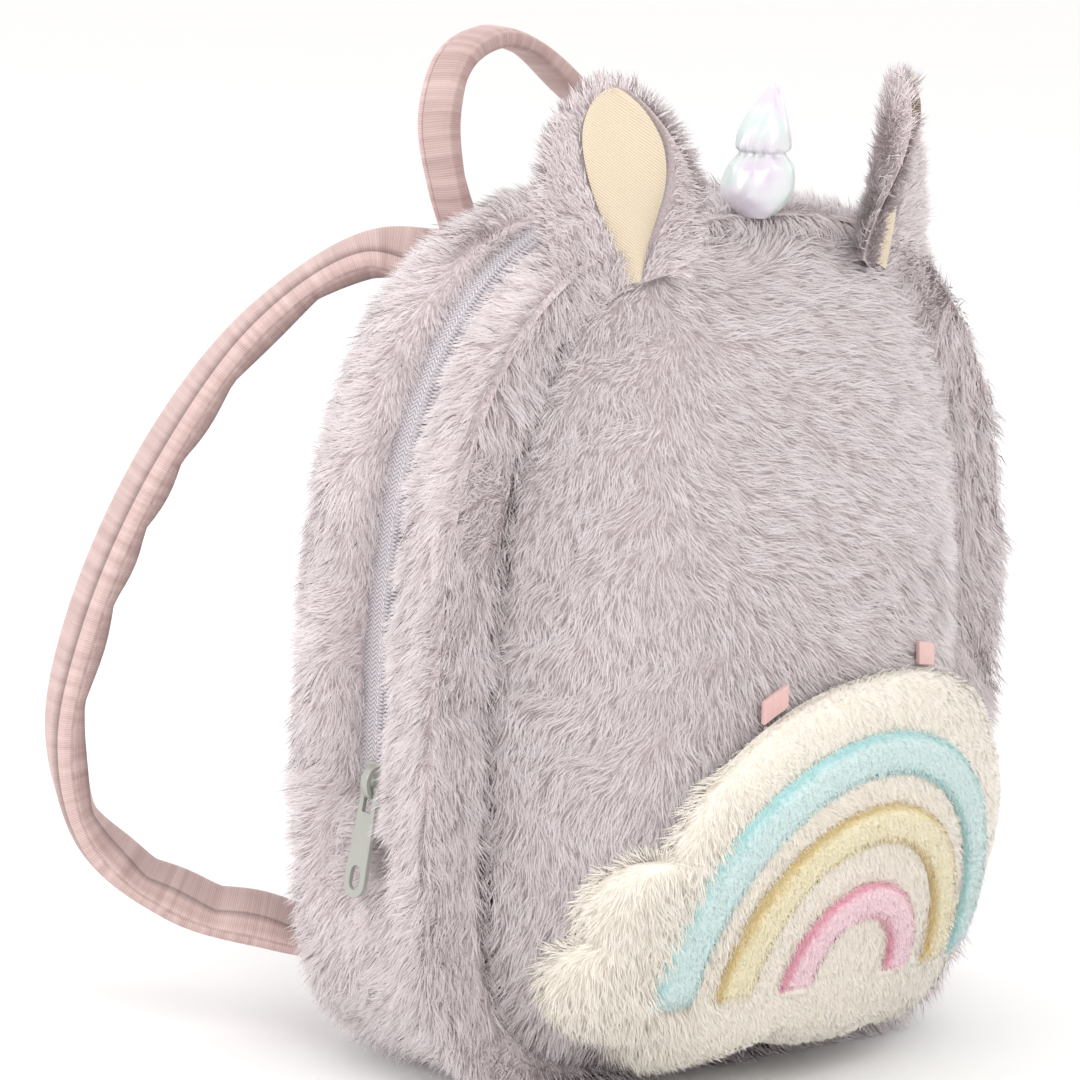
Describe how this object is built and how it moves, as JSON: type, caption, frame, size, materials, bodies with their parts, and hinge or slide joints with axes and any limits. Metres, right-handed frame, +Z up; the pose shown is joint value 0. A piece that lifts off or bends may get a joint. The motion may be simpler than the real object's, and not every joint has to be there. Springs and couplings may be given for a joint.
{
  "type": "plush backpack",
  "caption": "Small child's plush backpack with ears, a soft horn, a zip over the top, shoulder straps, a carrying handle and a cloud pocket with a rainbow.",
  "frame": {"origin": "centre of the flat base on the ground", "axes": "+Z up, -Y the front with the cloud pocket, +Y the back with the straps, the zip pull on the -X side"},
  "size_m": [0.3164, 0.2235, 0.3212],
  "materials": {
    "plush": "long frosted faux fur, pale lilac-grey tips over mauve-brown roots",
    "cream_plush": "short dense cream faux fur",
    "velvet": "dusty rose stretch velvet with fine ribs",
    "ear_lining": "cream twill",
    "horn_satin": "pearlescent satin with a soft shine",
    "zip_tape": "light grey twill tape",
    "zip_coil": "clear light grey nylon coil",
    "zip_metal": "pale greenish grey enamel, semi-gloss",
    "band_blue": "pastel aqua short plush",
    "band_yellow": "butter yellow short plush",
    "band_pink": "candy pink short plush",
    "ribbon": "pink ribbed ribbon"
  },
  "bodies": {
    "bag": {"front_panel": "plush", "back_panel": "plush", "gusset_front": "plush", "gusset_rear": "plush", "gusset_base": "plush", "zip_tape": "zip_tape", "zip_coil": "zip_coil", "zip_slider": "zip_metal", "ear_left": "plush", "ear_lining_left": "ear_lining", "strap_left": "velvet", "ear_right": "plush", "ear_lining_right": "ear_lining", "strap_right": "velvet", "horn": "horn_satin", "carrying_handle": "velvet", "pocket_cloud": "cream_plush", "band_blue": "band_blue", "band_yellow": "band_yellow", "band_pink": "band_pink", "ribbon_left": "ribbon", "ribbon_right": "ribbon"},
    "pull": {"zip_pull": "zip_metal"}
  },
  "joints": [
    {"name": "pull_swing", "type": "hinge", "parent": "bag", "child": "pull", "pos_m": [-0.10969, 0, 0.0929], "axis": [0, 1, 0], "range_deg": [0, 130]}
  ]
}
